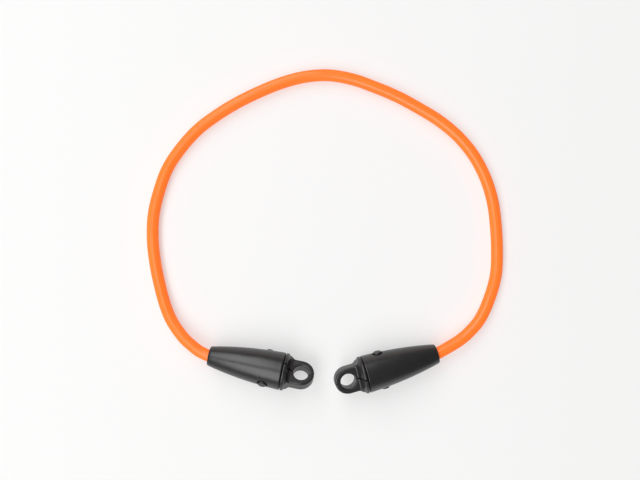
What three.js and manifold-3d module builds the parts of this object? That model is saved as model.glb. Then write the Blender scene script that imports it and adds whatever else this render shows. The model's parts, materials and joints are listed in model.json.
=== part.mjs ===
// Bungee cord: an elastic cord laid in an open loop, with a plastic eye terminal on each end.
// Millimetres, +Z up. It lies on z = 0, with the origin midway between the two terminals.
// A terminal has its own frame: x runs along the cord from the sleeve's cord exit to the eye,
// y points at the snap lugs, and z is the axis of the eye's hole.

import * as THREE from 'three';
import { mergeVertices } from 'three/addons/utils/BufferGeometryUtils.js';
import Module from 'manifold-3d';

const wasm = await Module();
wasm.setup();

// Cord: a braided jacket round a bundle of square rubber threads.
const cordDiameter = 8;
const jacketWall = 0.7;
const threadRows = 3;
const threadGap = 0.2;
const coreClearance = 0.25;
const cordSides = 10;
const cordCorner = cordDiameter / 2 / Math.cos(Math.PI / cordSides);
const cordSteps = 54;

// Sleeve: a bullet shape that swells from the cord exit to the mouth.
const sleeveLength = 52;
const exitRadius = 6.65;
const mouthRadius = 13;
const swellX = 23.7;
const swellRadius = 12.2;
const sleeveWall = 1.5;
const sleeveEdge = 0.6;
const throatLength = 7;
const throatClearance = 0.5;
const throatFlare = 0.9;
const seatDepth = 2;

// Snap lugs, the windows that they sit in, and the spring fingers that carry them.
const lugFromMouth = 11.5;
const lugDiameter = 6;
const lugRise = 0.9;
const lugEdge = 0.5;
const windowClearance = 0.8;
const fingerLength = 18.5;
const fingerThickness = 1.6;
const fingerWidth = 7;
const fingerClearance = 0.4;
const pressClearance = 0.2;

// Jaws: two halves that close on the cord, with half an eye each.
const jawClearance = 0.3;
const jawChamfer = 0.6;
const gripClearance = 0.3;
const toothPitch = 7;
const toothRun = 5.2;
const toothBack = 0.4;
const toothDepth = 0.7;
const stopWall = 2.8;
const slitWidth = 0.9;
const seamWidth = 0.3;

// Collar and eye.
const collarGap = 0.6;
const collarRadius = 13.05;
const collarBand = 1.9;
const collarRound = 0.6;
const neckLength = 9.8;
const neckFlare = 5;
const neckBend = 2.6;
const shoulderRun = 2.9;
const shoulderBend = 0.9;
const eyeRadius = 9.25;
const eyeHole = 10.2;
const eyeThickness = 8.6;
const eyeEdge = 0.9;

// How each terminal lies: the place of its eye on the floor plan, and its turns in degrees.
const leftLie = { eye: [-15.65, -4.03], heading: -11.5, tilt: 3.2, roll: -34 };
const rightLie = { eye: [16.42, -6.85], heading: 195.3, tilt: 5.8, roll: -11 };

// The free cord from the left exit to the right exit, drooping from the exits to the floor.
const floorZ = cordCorner;
const route = [
  [-85.8, 11.8, 9.5], [-91.4, 15.9, 8.8], [-97.1, 21, 7.9], [-105.4, 32.1, 6.1],
  [-110, 42.1, 5], [-114.5, 57.7, floorZ], [-117.7, 73.6, floorZ], [-119.4, 90.1, floorZ],
  [-118.7, 106.9, floorZ], [-114.9, 123.3, floorZ], [-108.9, 139.3, floorZ], [-99.5, 153.4, floorZ],
  [-88.1, 166, floorZ], [-74.6, 176.3, floorZ], [-60.4, 185, floorZ], [-45.4, 192.4, floorZ],
  [-29.9, 198.7, floorZ], [-13.5, 203.1, floorZ], [3.5, 204.3, floorZ], [20.3, 201.5, floorZ],
  [36.3, 195.9, floorZ], [51.7, 189.4, floorZ], [66.4, 181.5, floorZ], [80.9, 172.6, floorZ],
  [94.2, 161.5, floorZ], [105.2, 148.1, floorZ], [113.3, 132.6, floorZ], [118.4, 115.9, floorZ],
  [120.6, 98.9, floorZ], [121.4, 81.8, floorZ], [120.6, 64.7, floorZ], [116.1, 48.3, 4.4],
  [108.8, 33, 5.2], [99.8, 23.1, 6.2], [94.1, 18.7, 6.9], [88.4, 15.3, 7.5],
];

// Facets.
const turnSides = 28;
const smallSides = 20;
const curveSteps = 5;
const filletSteps = 3;
const outlineSteps = 8;
const bevelSteps = 2;
const farAway = 60;

// Sizes that follow from the ones above.
const coreRadius = cordDiameter / 2 - jacketWall;
const threadSide = ((coreRadius - coreClearance) * Math.SQRT2 - (threadRows - 1) * threadGap) / threadRows;
const throatRadius = cordCorner + throatClearance;
const toothCrest = cordCorner + gripClearance;
const toothRoot = toothCrest + toothDepth;
const edgeMiddle = sleeveEdge * (1 - Math.SQRT1_2);
const seatX = throatLength + seatDepth;
const jawTipX = seatX + jawClearance;
const lugX = sleeveLength - lugFromMouth;
const fingerRootX = lugX - fingerLength;
const fingerTipX = lugX + lugDiameter / 2 + lugEdge;
const lugTravel = lugRise + sleeveWall + pressClearance;
const fingerTravel = lugTravel * (fingerTipX - fingerRootX) / fingerLength;
const collarX = sleeveLength + collarGap;
const collarFront = collarX + collarBand + collarRound;
const eyeX = collarFront + neckLength;
const shoulderFoot = collarFront + shoulderRun;
const cordStopX = collarX - stopWall;
const cordEndX = cordStopX - gripClearance;

// The sleeve's outside swells along a quadratic curve, solved here for its radius at x.
function outerRadius(x) {
  const t = x / (swellX + Math.sqrt(swellX ** 2 + (sleeveLength - 2 * swellX) * x));
  return exitRadius * (1 - t) ** 2 + 2 * swellRadius * t * (1 - t) + mouthRadius * t ** 2;
}

function boreRadius(x) {
  return outerRadius(x) - sleeveWall;
}

function jawRadius(x) {
  return boreRadius(x) - jawClearance;
}

// Points [x, radius] of a curve radiusAt(x), evenly spaced in x.
function sampled(radiusAt, from, to, steps = curveSteps) {
  return Array.from({ length: steps + 1 }, (_, i) => {
    const x = from + (to - from) * i / steps;
    return [x, radiusAt(x)];
  });
}

// A solid of revolution about x, from a profile of [x, radius] that runs up the outside.
function revolved(profile, sides = turnSides) {
  const points = profile.map(([x, radius]) => new THREE.Vector2(radius, x));
  return new THREE.LatheGeometry(points, sides).rotateZ(-Math.PI / 2);
}

// A flat outline in x and y, given a width along z.
function prism(outline, width) {
  const shape = new THREE.Shape(outline.map(([x, y]) => new THREE.Vector2(x, y)));
  const geometry = new THREE.ExtrudeGeometry(shape, { depth: width, bevelEnabled: false });
  return geometry.translate(0, 0, -width / 2);
}

// A closed geometry as a solid that can be joined and cut.
function solid(geometry) {
  const bare = geometry.clone();
  bare.deleteAttribute('normal');
  bare.deleteAttribute('uv');
  const merged = mergeVertices(bare);
  const corners = merged.index.array;
  const kept = [];
  for (let i = 0; i < corners.length; i += 3) {
    const [a, b, c] = corners.slice(i, i + 3);
    if (a !== b && b !== c && c !== a) kept.push(a, b, c);
  }
  return new wasm.Manifold(new wasm.Mesh({
    numProp: 3,
    vertProperties: merged.attributes.position.array,
    triVerts: new Uint32Array(kept),
  }));
}

function geometryOf(body) {
  const { vertProperties, triVerts } = body.getMesh();
  const geometry = new THREE.BufferGeometry();
  geometry.setAttribute('position', new THREE.BufferAttribute(vertProperties, 3));
  geometry.setIndex(new THREE.BufferAttribute(triVerts, 1));
  geometry.computeVertexNormals();
  return geometry;
}

// Everything further out than the gap from the plane y = 0, on the side that sign names.
function halfSpace(sign, gap) {
  const block = new THREE.BoxGeometry(4 * farAway, farAway, 2 * farAway);
  return solid(block.translate(0, sign * (farAway / 2 + gap), 0));
}

const satinBlack = new THREE.MeshStandardMaterial({ color: 0x2b2b2d, roughness: 0.42, metalness: 0 });
const matteBlack = new THREE.MeshStandardMaterial({ color: 0x212123, roughness: 0.6, metalness: 0 });
const orangeBraid = new THREE.MeshStandardMaterial({ color: 0xff8033, roughness: 0.85, metalness: 0 });
const paleRubber = new THREE.MeshStandardMaterial({ color: 0xd9c9a3, roughness: 0.7, metalness: 0 });

// The outside rises from the exit to the mouth, and the bore returns to the throat.
const sleeveProfile = [
  [0, throatRadius + throatFlare],
  [0, exitRadius - sleeveEdge],
  [edgeMiddle, exitRadius - edgeMiddle],
  ...sampled(outerRadius, sleeveEdge, sleeveLength - sleeveEdge, 2 * curveSteps),
  [sleeveLength - edgeMiddle, mouthRadius - edgeMiddle],
  [sleeveLength, mouthRadius - sleeveEdge],
  ...sampled(boreRadius, sleeveLength, seatX),
  [throatLength, throatRadius],
  [throatFlare, throatRadius],
  [0, throatRadius + throatFlare],
];

function sleeve() {
  const radius = lugDiameter / 2 + windowClearance;
  const drill = new THREE.CylinderGeometry(radius, radius, 2 * farAway, smallSides);
  return solid(revolved(sleeveProfile)).subtract(solid(drill.translate(lugX, 0, 0)));
}

// The tapered plug that fills the sleeve's bore, before it is split.
function plug() {
  return solid(revolved([
    [jawTipX, 0],
    [jawTipX, jawRadius(jawTipX) - jawChamfer],
    ...sampled(jawRadius, jawTipX + jawChamfer, sleeveLength),
    [collarX + collarBand / 2, jawRadius(sleeveLength)],
    [collarX + collarBand / 2, 0],
  ]));
}

// The collar, a disc with a rounded front edge that closes the sleeve's mouth.
function collar() {
  const crown = new THREE.EllipseCurve(
    collarX + collarBand, collarRadius - collarRound, collarRound, collarRound, Math.PI / 2, 0, true);
  return solid(revolved([
    [collarX, 0],
    [collarX, collarRadius - jawChamfer / 2],
    [collarX + jawChamfer / 2, collarRadius],
    ...crown.getPoints(filletSteps).map((p) => [p.x, p.y]),
    [collarFront, 0],
  ]));
}

// The eye's outline: parallel sides that flare into the collar, and a round end.
function eyeOutline() {
  const rootX = collarX + jawChamfer / 2;
  const rootY = collarRadius - collarRound;
  const outline = new THREE.Shape();
  outline.absarc(eyeX, 0, eyeRadius, -Math.PI / 2, Math.PI / 2, false);
  outline.lineTo(collarFront + neckFlare, eyeRadius);
  outline.quadraticCurveTo(collarFront + neckBend, eyeRadius, collarFront, rootY);
  outline.lineTo(rootX, rootY);
  outline.lineTo(rootX, -rootY);
  outline.lineTo(collarFront, -rootY);
  outline.quadraticCurveTo(collarFront + neckBend, -eyeRadius, collarFront + neckFlare, -eyeRadius);
  return outline;
}

// The flat eye with its rounded edges and its hole.
function eye() {
  const outline = eyeOutline();
  outline.holes.push(new THREE.Path().absarc(eyeX, 0, eyeHole / 2, 0, 2 * Math.PI, true));
  const geometry = new THREE.ExtrudeGeometry(outline, {
    depth: eyeThickness - 2 * eyeEdge,
    bevelThickness: eyeEdge,
    bevelSize: eyeEdge,
    bevelOffset: -eyeEdge,
    bevelSegments: bevelSteps,
    curveSegments: outlineSteps,
  });
  return solid(geometry.translate(0, 0, eyeEdge - eyeThickness / 2));
}

// The shoulder: within the eye's outline, it thins in a hollow curve from the collar to the eye.
function shoulder() {
  const rootX = collarX + jawChamfer / 2;
  const rootZ = collarRadius - collarRound;
  const side = new THREE.Shape();
  side.moveTo(rootX, -rootZ);
  side.lineTo(collarFront, -rootZ);
  side.quadraticCurveTo(collarFront + shoulderBend, -eyeThickness / 2, shoulderFoot, -eyeThickness / 2);
  side.lineTo(shoulderFoot, eyeThickness / 2);
  side.quadraticCurveTo(collarFront + shoulderBend, eyeThickness / 2, collarFront, rootZ);
  side.lineTo(rootX, rootZ);
  const through = { depth: 2 * farAway, bevelEnabled: false, curveSegments: outlineSteps };
  const profile = new THREE.ExtrudeGeometry(side, through).translate(0, 0, -farAway).rotateX(Math.PI / 2);
  const plan = new THREE.ExtrudeGeometry(eyeOutline(), through).translate(0, 0, -farAway);
  const drum = revolved([[rootX, 0], [rootX, rootZ], [shoulderFoot, rootZ], [shoulderFoot, 0]]);
  return solid(profile).intersect(solid(plan)).intersect(solid(drum));
}

// The space for the cord between the jaws, with barbs that hold it against a pull to the exit.
function channel() {
  const count = Math.floor((cordStopX - jawTipX) / toothPitch);
  const barbs = Array.from({ length: count }, (_, i) => jawTipX + i * toothPitch).flatMap((x) => [
    [x, toothRoot],
    [x + toothRun, toothCrest],
    [x + toothRun + toothBack, toothRoot],
  ]);
  return solid(revolved([
    [jawTipX - jawChamfer, 0],
    [jawTipX - jawChamfer, toothRoot],
    ...barbs,
    [cordStopX, toothRoot],
    [cordStopX, 0],
  ], smallSides));
}

// The outline of a spring finger, grown by a clearance and deepened at its free end.
function fingerOutline(sign, clearance, deepening) {
  const rootY = jawRadius(fingerRootX) - fingerThickness - clearance;
  const tipY = jawRadius(fingerTipX) - fingerThickness - clearance - deepening;
  return [
    [fingerRootX - clearance, sign * rootY],
    [fingerTipX + clearance, sign * tipY],
    [fingerTipX + clearance, sign * farAway],
    [fingerRootX - clearance, sign * farAway],
  ];
}

// The slit that parts the jaws from their tips to the eye's hole. Beyond the hole is a fine seam.
function slitCutter() {
  const slit = new THREE.BoxGeometry(eyeX, slitWidth, 2 * farAway);
  return solid(slit.translate(eyeX / 2, 0, 0));
}

// One half of the jaws: its half of the plug, the collar and the eye, pocketed for its finger.
function jaw(sign) {
  const pocket = prism(
    fingerOutline(sign, fingerClearance, fingerTravel), fingerWidth + 2 * fingerClearance);
  return plug().add(collar()).add(shoulder()).add(eye())
    .subtract(channel())
    .subtract(solid(pocket))
    .intersect(halfSpace(sign, seamWidth / 2))
    .subtract(slitCutter());
}

// A spring finger of the jaw, with its round snap lug.
function latch(sign) {
  const foot = jawRadius(lugX) - fingerThickness / 2;
  const top = outerRadius(lugX) + lugRise;
  const radius = lugDiameter / 2;
  const lug = new THREE.LatheGeometry([
    new THREE.Vector2(0, foot),
    new THREE.Vector2(radius, foot),
    new THREE.Vector2(radius, top - lugEdge),
    new THREE.Vector2(radius - lugEdge, top),
    new THREE.Vector2(0, top),
  ], smallSides);
  lug.rotateX(sign > 0 ? 0 : Math.PI).translate(lugX, 0, 0);
  const finger = plug().intersect(solid(prism(fingerOutline(sign, 0, 0), fingerWidth)));
  return finger.add(solid(lug));
}

// How high the cord exit lies when the tilted terminal rests on its belly or its collar.
function exitHeight(tilt) {
  const rims = [...sleeveProfile, [collarX + collarBand, collarRadius]];
  const reach = rims.map(([x, radius]) => radius * Math.cos(tilt) - x * Math.sin(tilt));
  return Math.max(...reach);
}

function piece(name, geometry, material) {
  const mesh = new THREE.Mesh(geometry, material);
  mesh.name = name;
  return mesh;
}

// One terminal in place. The upper jaw and lug are the ones that its roll raises.
function terminal(side, lie) {
  const heading = THREE.MathUtils.degToRad(lie.heading);
  const tilt = THREE.MathUtils.degToRad(lie.tilt);
  const flatLength = eyeX * Math.cos(tilt);
  const group = new THREE.Group();
  group.position.set(
    lie.eye[0] - flatLength * Math.cos(heading),
    lie.eye[1] - flatLength * Math.sin(heading),
    exitHeight(tilt));
  group.rotation.set(THREE.MathUtils.degToRad(lie.roll), -tilt, heading, 'ZYX');
  group.updateMatrix();
  group.add(piece(`${side}_sleeve`, geometryOf(sleeve()), satinBlack));
  for (const [place, sign] of [['upper', -1], ['lower', 1]]) {
    group.add(piece(`${side}_jaw_${place}`, geometryOf(jaw(sign)), matteBlack));
    group.add(piece(`${side}_latch_${place}`, geometryOf(latch(sign)), matteBlack));
  }
  return group;
}

// Points on a terminal's axis where it grips the cord, from the cord's end to the exit.
function gripPoints(group) {
  const places = [cordEndX, cordEndX * 2 / 3, cordEndX / 3, throatLength, 0];
  return places.map((x) => new THREE.Vector3(x, 0, 0).applyMatrix4(group.matrix));
}

// A regular outline with a flat turned to the floor.
function polygon(apothem, sides) {
  const corner = apothem / Math.cos(Math.PI / sides);
  return Array.from({ length: sides }, (_, i) => {
    const angle = 2 * Math.PI * (i + 0.5) / sides;
    return new THREE.Vector2(corner * Math.cos(angle), corner * Math.sin(angle));
  });
}

function alongCord(shape, path) {
  return new THREE.ExtrudeGeometry(shape, { extrudePath: path, steps: cordSteps, bevelEnabled: false });
}

function jacket(path) {
  const shape = new THREE.Shape(polygon(cordDiameter / 2, cordSides));
  shape.holes.push(new THREE.Path(polygon(coreRadius, cordSides)));
  return piece('cord_jacket', alongCord(shape, path), orangeBraid);
}

function rubberThreads(path) {
  const threads = [];
  const spacing = threadSide + threadGap;
  const half = threadSide / 2;
  const middle = (threadRows - 1) / 2;
  for (let row = 0; row < threadRows; row += 1) {
    for (let column = 0; column < threadRows; column += 1) {
      const x = (row - middle) * spacing;
      const y = (column - middle) * spacing;
      const square = [[-1, -1], [1, -1], [1, 1], [-1, 1]].map(
        ([a, b]) => new THREE.Vector2(x + a * half, y + b * half));
      const name = `rubber_thread_${threads.length + 1}`;
      threads.push(piece(name, alongCord(new THREE.Shape(square), path), paleRubber));
    }
  }
  return threads;
}

const left = terminal('left', leftLie);
const right = terminal('right', rightLie);
const cordPath = new THREE.CatmullRomCurve3([
  ...gripPoints(left),
  ...route.map((point) => new THREE.Vector3(...point)),
  ...gripPoints(right).reverse(),
], false, 'centripetal');

const bungee = new THREE.Group();
bungee.add(left, right, jacket(cordPath), ...rubberThreads(cordPath));

export default bungee;
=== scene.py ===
"""A bungee cord laid in an open loop: a braided elastic cord with an eye terminal on each end."""

import json
import math
from bisect import bisect_right

import bmesh
import bpy
from bpy.props import FloatProperty, FloatVectorProperty, IntProperty, PointerProperty
from mathutils import Matrix, Vector
from mathutils.geometry import interpolate_bezier
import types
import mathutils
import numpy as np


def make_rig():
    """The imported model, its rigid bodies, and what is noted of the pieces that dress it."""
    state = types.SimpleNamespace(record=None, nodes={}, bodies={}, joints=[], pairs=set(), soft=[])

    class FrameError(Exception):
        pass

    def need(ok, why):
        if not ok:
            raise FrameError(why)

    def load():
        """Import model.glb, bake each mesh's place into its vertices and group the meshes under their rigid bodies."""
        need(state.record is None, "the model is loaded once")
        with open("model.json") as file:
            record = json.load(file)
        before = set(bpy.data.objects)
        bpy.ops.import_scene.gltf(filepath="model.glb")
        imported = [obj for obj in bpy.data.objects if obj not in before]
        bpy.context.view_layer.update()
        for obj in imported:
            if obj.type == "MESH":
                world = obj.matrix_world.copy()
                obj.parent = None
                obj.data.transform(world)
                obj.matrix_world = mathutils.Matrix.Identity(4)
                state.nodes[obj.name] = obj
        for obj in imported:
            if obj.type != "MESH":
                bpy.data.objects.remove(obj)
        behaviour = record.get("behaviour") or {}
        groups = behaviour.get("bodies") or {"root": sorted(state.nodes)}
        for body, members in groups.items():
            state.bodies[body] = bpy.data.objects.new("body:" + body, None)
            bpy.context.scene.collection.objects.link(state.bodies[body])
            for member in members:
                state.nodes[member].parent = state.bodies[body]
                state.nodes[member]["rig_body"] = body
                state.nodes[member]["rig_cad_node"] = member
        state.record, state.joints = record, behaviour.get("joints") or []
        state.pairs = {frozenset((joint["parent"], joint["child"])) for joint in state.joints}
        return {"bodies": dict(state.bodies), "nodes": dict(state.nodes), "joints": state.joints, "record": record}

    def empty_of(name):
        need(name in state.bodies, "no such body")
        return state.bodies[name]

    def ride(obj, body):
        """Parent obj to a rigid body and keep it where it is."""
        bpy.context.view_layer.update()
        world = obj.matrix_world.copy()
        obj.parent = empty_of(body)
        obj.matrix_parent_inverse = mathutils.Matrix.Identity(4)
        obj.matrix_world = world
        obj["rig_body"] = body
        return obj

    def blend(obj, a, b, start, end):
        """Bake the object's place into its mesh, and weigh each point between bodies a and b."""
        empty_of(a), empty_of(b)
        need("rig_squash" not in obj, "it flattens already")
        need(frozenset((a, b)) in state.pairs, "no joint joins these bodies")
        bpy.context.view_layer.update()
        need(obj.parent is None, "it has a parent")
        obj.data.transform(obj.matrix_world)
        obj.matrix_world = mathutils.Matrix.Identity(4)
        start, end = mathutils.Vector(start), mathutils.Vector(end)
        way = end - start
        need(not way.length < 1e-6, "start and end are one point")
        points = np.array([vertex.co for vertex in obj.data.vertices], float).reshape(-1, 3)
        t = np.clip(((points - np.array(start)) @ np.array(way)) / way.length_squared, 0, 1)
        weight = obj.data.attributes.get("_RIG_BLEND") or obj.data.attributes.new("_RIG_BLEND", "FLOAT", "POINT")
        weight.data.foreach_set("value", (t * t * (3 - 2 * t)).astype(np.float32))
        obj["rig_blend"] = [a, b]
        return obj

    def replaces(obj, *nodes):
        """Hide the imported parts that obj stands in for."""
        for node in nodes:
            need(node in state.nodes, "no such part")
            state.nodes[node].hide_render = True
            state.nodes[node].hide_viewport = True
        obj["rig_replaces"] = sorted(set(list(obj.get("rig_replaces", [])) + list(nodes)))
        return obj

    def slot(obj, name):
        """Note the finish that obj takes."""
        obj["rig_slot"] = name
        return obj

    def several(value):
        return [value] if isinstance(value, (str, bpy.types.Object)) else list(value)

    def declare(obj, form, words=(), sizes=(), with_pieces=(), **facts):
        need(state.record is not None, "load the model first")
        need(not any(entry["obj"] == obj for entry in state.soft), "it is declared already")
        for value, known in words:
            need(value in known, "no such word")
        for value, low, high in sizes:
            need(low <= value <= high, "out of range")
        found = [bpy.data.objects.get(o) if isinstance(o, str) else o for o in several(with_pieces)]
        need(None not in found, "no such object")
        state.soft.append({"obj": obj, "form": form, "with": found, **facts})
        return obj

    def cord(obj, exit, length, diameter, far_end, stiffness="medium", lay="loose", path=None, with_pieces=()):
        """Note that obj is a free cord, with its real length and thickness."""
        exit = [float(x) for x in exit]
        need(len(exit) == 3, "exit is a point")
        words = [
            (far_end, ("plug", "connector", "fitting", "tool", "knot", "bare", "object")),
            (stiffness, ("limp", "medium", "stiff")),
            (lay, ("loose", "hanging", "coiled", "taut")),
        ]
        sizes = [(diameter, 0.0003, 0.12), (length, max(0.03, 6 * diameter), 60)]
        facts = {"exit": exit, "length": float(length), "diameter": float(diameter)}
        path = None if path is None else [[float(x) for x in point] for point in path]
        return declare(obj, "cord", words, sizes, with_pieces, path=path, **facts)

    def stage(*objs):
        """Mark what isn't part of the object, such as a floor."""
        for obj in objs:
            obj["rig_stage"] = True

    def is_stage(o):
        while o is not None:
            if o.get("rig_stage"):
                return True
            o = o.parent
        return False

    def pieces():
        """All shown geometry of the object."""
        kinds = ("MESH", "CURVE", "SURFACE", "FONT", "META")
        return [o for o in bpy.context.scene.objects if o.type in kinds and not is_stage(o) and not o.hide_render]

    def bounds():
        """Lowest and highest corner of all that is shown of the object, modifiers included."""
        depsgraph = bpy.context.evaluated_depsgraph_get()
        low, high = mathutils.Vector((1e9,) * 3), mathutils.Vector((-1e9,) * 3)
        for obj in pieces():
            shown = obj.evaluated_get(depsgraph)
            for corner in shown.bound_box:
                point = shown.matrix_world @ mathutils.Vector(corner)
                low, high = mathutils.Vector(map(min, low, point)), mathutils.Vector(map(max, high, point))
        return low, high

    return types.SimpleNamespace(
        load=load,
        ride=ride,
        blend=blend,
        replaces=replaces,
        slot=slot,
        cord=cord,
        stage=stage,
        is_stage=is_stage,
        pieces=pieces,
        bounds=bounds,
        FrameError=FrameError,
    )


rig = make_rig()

bl_info = {
    "name": "Bungee Cord",
    "version": (1, 0, 0),
    "blender": (4, 5, 0),
    "location": "View3D > Sidebar > Bungee",
    "description": "Braided cord, snap sleeves, barbed jaws and latches for a bungee cord",
    "category": "Object",
}

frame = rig.load()
CAD_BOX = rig.bounds()
RECORD_COLOURS = {m["slot"]: m["base_color"][:3] for m in frame["record"]["materials"]}
JOINTS = {joint["name"]: joint for joint in frame["joints"]}
SIDES = ("left", "right")
MM = 0.001
FULL_TURN = 2 * math.pi
QUARTER_TURN = math.pi / 2

# Points nearer than this are taken as one.
WELD = 1e-7

# Direction along which the points of a cut shape are put in order.
WELD_ORDER = Vector((0.733, 0.519, 0.441))

# Faces that turn by more than this, in radians, meet in an edge.
RIM_ANGLE = 0.65

# Reach of the shapes that cut right through a terminal.
FAR = 0.06

# Where the cord's stretch begins and ends between the two terminals.
STRETCH_START = (-0.07, 0.0, 0.0)
STRETCH_END = (0.07, 0.0, 0.0)

# Rays that see the floor, and the share of white that they find on it.
SEEING_RAYS = ("Camera", "Glossy", "Transmission")
FLOOR_LIFT = 0.46

# Height of the cord's middle where it lies on the floor.
LYING = 0.0042

# The free cord from the left exit to the right exit, drooping from the exits to the floor.
ROUTE = [
    (-0.0858, 0.0118, 0.0095), (-0.0914, 0.0159, 0.0088), (-0.0971, 0.021, 0.0079),
    (-0.1054, 0.0321, 0.0061), (-0.11, 0.0421, 0.005), (-0.1145, 0.0577, LYING),
    (-0.1177, 0.0736, LYING), (-0.1194, 0.0901, LYING), (-0.1187, 0.1069, LYING),
    (-0.1149, 0.1233, LYING), (-0.1089, 0.1393, LYING), (-0.0995, 0.1534, LYING),
    (-0.0881, 0.166, LYING), (-0.0746, 0.1763, LYING), (-0.0604, 0.185, LYING),
    (-0.0454, 0.1924, LYING), (-0.0299, 0.1987, LYING), (-0.0135, 0.2031, LYING),
    (0.0035, 0.2043, LYING), (0.0203, 0.2015, LYING), (0.0363, 0.1959, LYING),
    (0.0517, 0.1894, LYING), (0.0664, 0.1815, LYING), (0.0809, 0.1726, LYING),
    (0.0942, 0.1615, LYING), (0.1052, 0.1481, LYING), (0.1133, 0.1326, LYING),
    (0.1184, 0.1159, LYING), (0.1206, 0.0989, LYING), (0.1214, 0.0818, LYING),
    (0.1206, 0.0647, LYING), (0.1161, 0.0483, 0.0044), (0.1088, 0.033, 0.0052),
    (0.0998, 0.0231, 0.0062), (0.0941, 0.0187, 0.0069), (0.0884, 0.0153, 0.0075),
]


def length(name, description, default):
    """A size in metres that a user may change."""
    return FloatProperty(
        name=name, description=description, default=default, min=0.0, precision=5, unit="LENGTH")


def colour(name, description, default):
    """A colour that a user may change."""
    return FloatVectorProperty(
        name=name, description=description, default=default, min=0.0, max=1.0, subtype="COLOR")


class BungeeTerminal(bpy.types.PropertyGroup):
    """Sizes of a terminal, in a frame with x to the eye, y to the lower lug and z along the hole."""

    sleeve_length: length("Sleeve length", "From the cord exit to the mouth", 0.052)
    exit_radius: length("Exit radius", "Outside of the sleeve at the cord exit", 0.00665)
    mouth_radius: length("Mouth radius", "Outside of the sleeve at its mouth", 0.013)
    swell_x: length("Swell place", "Control point of the sleeve's swell along its length", 0.0237)
    swell_radius: length("Swell radius", "Control point of the sleeve's swell in radius", 0.0122)
    sleeve_wall: length("Sleeve wall", "Thickness of the sleeve", 0.0015)
    sleeve_edge: length("Sleeve edge", "Rounding of the sleeve's rims", 0.0005)
    throat_radius: length("Throat radius", "Bore that the cord passes at the exit", 0.00471)
    throat_length: length("Throat length", "Depth of the exit's bore", 0.007)
    throat_flare: length("Throat flare", "Chamfer round the exit's bore", 0.0009)
    seat_depth: length("Seat depth", "Length of the step from the throat to the main bore", 0.002)
    lug_from_mouth: length("Lug from mouth", "Middle of a snap lug, back from the mouth", 0.0115)
    lug_diameter: length("Lug diameter", "Across a snap lug", 0.006)
    lug_rise: length("Lug rise", "Height of a lug above the sleeve", 0.0009)
    lug_edge: length("Lug edge", "Rounding of a lug's top", 0.0005)
    window_clearance: length("Window clearance", "Gap round a lug in its window", 0.0008)
    finger_length: length("Finger length", "From a spring finger's root to its lug", 0.0185)
    finger_thickness: length("Finger thickness", "Thickness of a spring finger", 0.0016)
    finger_width: length("Finger width", "Width of a spring finger", 0.007)
    finger_clearance: length("Finger clearance", "Gap round a spring finger", 0.0004)
    hinge_inset: length("Hinge inset", "From a finger's root to its bending line", 0.0004)
    press_clearance: length("Press clearance", "Spare travel of a pressed lug", 0.0002)
    jaw_clearance: length("Jaw clearance", "Gap between the jaws and the sleeve", 0.0003)
    jaw_chamfer: length("Jaw chamfer", "Chamfer of the jaws' tip", 0.0006)
    tooth_crest: length("Tooth crest", "Radius of the cord channel at a barb's crest", 0.00451)
    tooth_depth: length("Tooth depth", "Height of a barb", 0.0007)
    tooth_pitch: length("Tooth pitch", "Distance from barb to barb", 0.007)
    tooth_run: length("Tooth run", "Length of a barb's slope", 0.0052)
    tooth_back: length("Tooth back", "Length of a barb's steep side", 0.0004)
    stop_wall: length("Stop wall", "Wall behind the cord's end", 0.0028)
    slit_width: length("Slit width", "Slit between the jaws", 0.0009)
    seam_width: length("Seam width", "Seam at the eye's far end", 0.00012)
    collar_gap: length("Collar gap", "Gap between the sleeve's mouth and the collar", 0.0006)
    collar_radius: length("Collar radius", "Outside of the collar", 0.01305)
    collar_band: length("Collar band", "Width of the collar's straight rim", 0.001)
    collar_round: length("Collar round", "Rounding of the collar's front edge", 0.0015)
    neck_length: length("Neck length", "From the collar's front to the middle of the eye", 0.0098)
    neck_flare: length("Neck flare", "Length of the flare of the neck's sides", 0.0046)
    neck_bend: length("Neck bend", "Control point of the flare of the neck's sides", 0.0021)
    shoulder_run: length("Shoulder run", "Length of the hollow shoulder in side view", 0.0029)
    shoulder_bend: length("Shoulder bend", "Control point of the hollow shoulder", 0.0009)
    eye_radius: length("Eye radius", "Outside of the eye", 0.0091)
    eye_hole: length("Eye hole", "Diameter of the eye's hole", 0.0105)
    eye_thickness: length("Eye thickness", "Thickness of the eye", 0.0086)
    eye_edge: length("Eye edge", "Rounding of the eye's outer edges", 0.0011)
    hole_edge: length("Hole edge", "Rounding of the hole's rims", 0.0008)

    @property
    def lug_x(self):
        return self.sleeve_length - self.lug_from_mouth

    @property
    def finger_root_x(self):
        return self.lug_x - self.finger_length

    @property
    def finger_tip_x(self):
        return self.lug_x + self.lug_diameter / 2 + self.lug_edge

    @property
    def seat_x(self):
        return self.throat_length + self.seat_depth

    @property
    def collar_x(self):
        return self.sleeve_length + self.collar_gap

    @property
    def collar_front(self):
        return self.collar_x + self.collar_band + self.collar_round

    @property
    def root_x(self):
        return self.collar_x + self.jaw_chamfer / 2

    @property
    def root_radius(self):
        return self.collar_radius - self.collar_round

    @property
    def eye_x(self):
        return self.collar_front + self.neck_length

    @property
    def cord_stop_x(self):
        return self.collar_x - self.stop_wall

    def outer_radius(self, x):
        """Outside of the sleeve at x, where it swells along a quadratic curve."""
        reach = math.sqrt(self.swell_x ** 2 + (self.sleeve_length - 2 * self.swell_x) * x)
        t = x / (self.swell_x + reach)
        swell = 2 * self.swell_radius * t * (1 - t)
        return self.exit_radius * (1 - t) ** 2 + swell + self.mouth_radius * t ** 2

    def bore_radius(self, x):
        return self.outer_radius(x) - self.sleeve_wall

    def jaw_radius(self, x):
        return self.bore_radius(x) - self.jaw_clearance


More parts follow.
